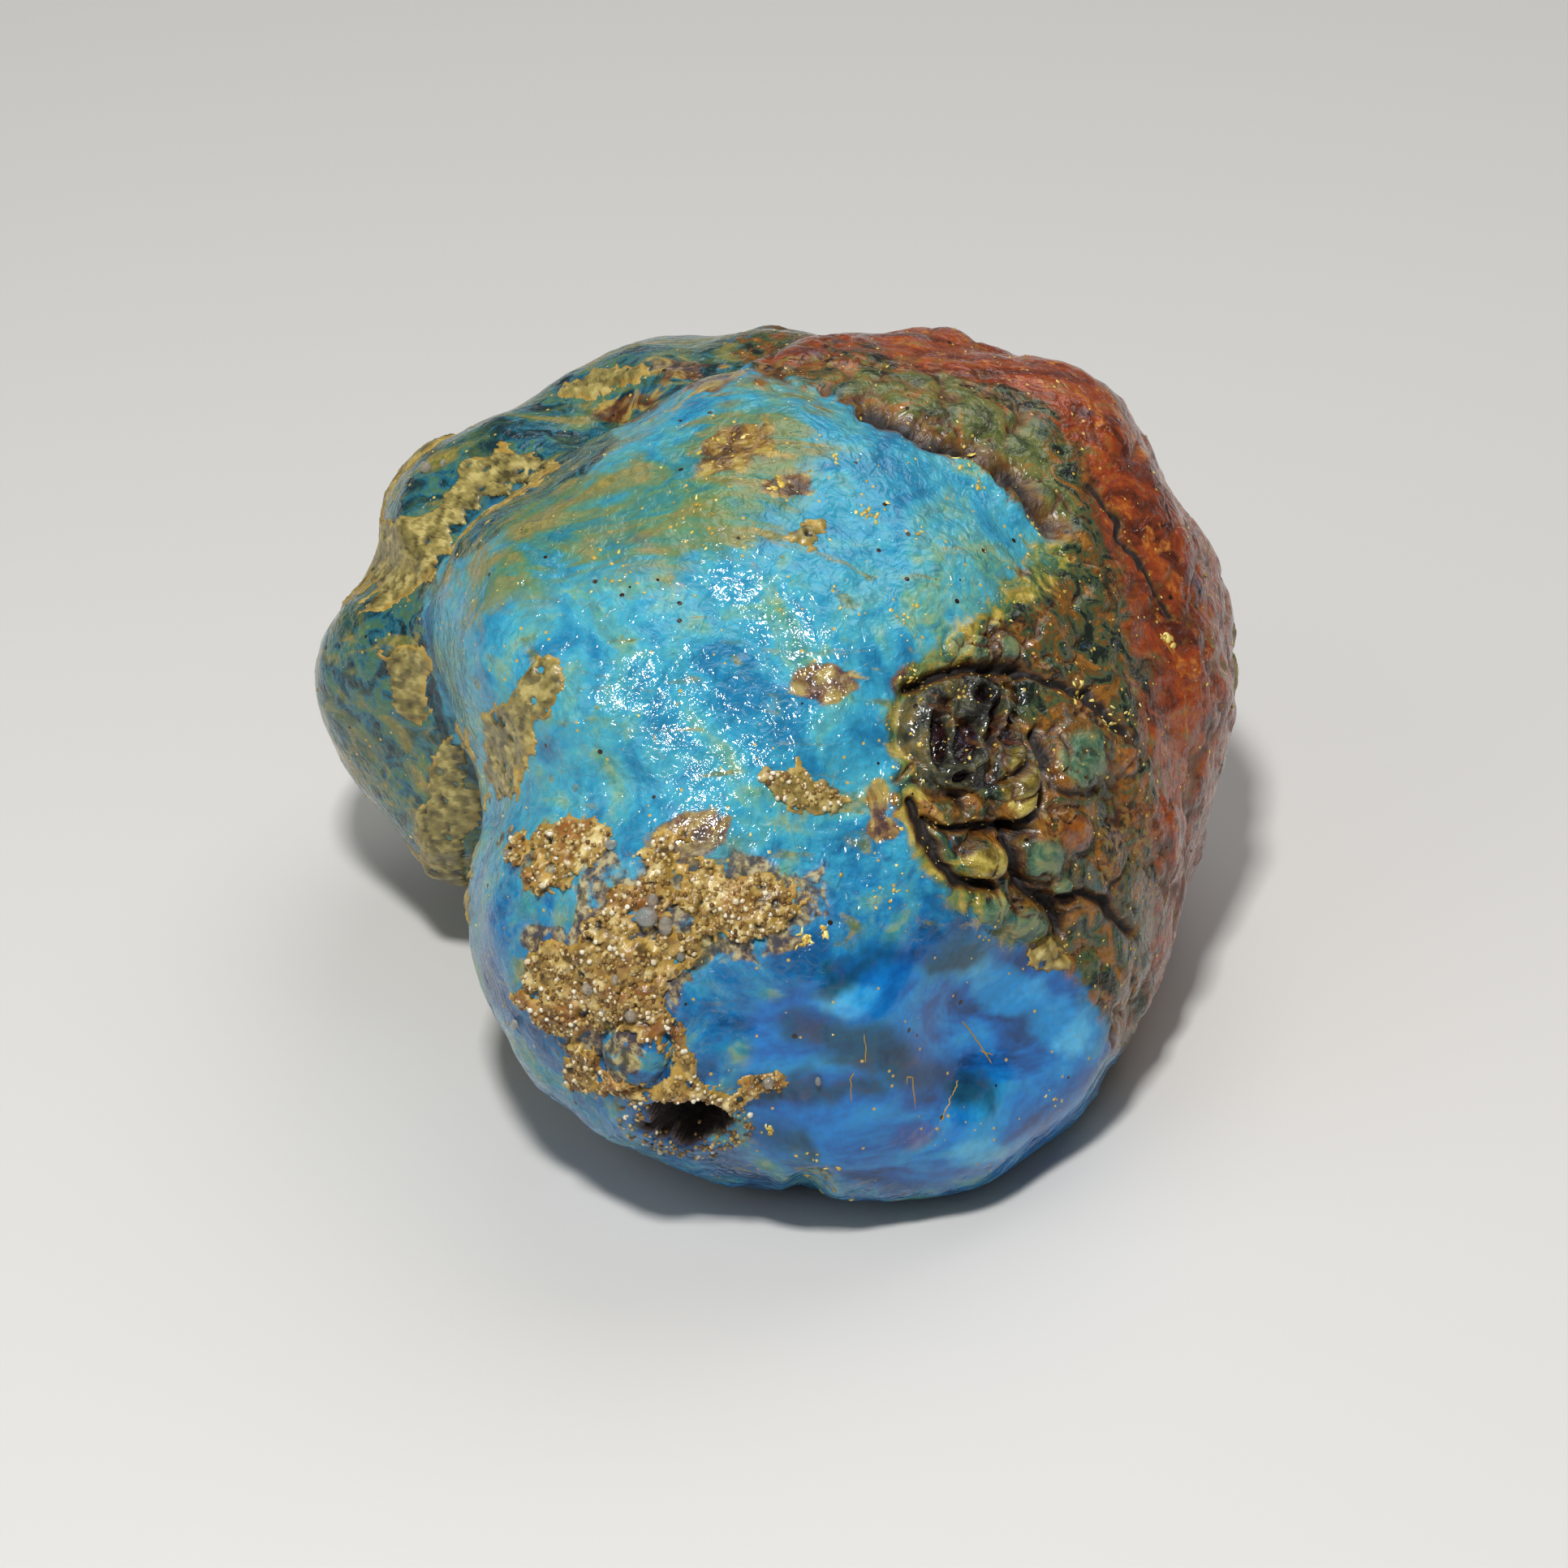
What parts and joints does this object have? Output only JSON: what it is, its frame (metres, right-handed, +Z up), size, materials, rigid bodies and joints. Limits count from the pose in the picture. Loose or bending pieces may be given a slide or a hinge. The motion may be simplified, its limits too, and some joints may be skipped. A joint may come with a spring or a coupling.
{
  "type": "rough amber nodule",
  "caption": "Rough nodule of blue amber: rounded flows of resin fused in one lump, with a scooped clear window, crusted sandy skin and a flat spot to rest on.",
  "frame": {"origin": "on the resting face, under the middle of the stone's box", "axes": "+Z up from the resting face, +X to the right and +Y to the back as seen from the blue front"},
  "size_m": [0.0598, 0.0634, 0.0421],
  "materials": {
    "amber": "natural wet-looking gloss, blue and turquoise at the front, olive to orange-red at the right and back"
  },
  "bodies": {
    "root": {"amber_nodule": "amber"}
  },
  "joints": []
}
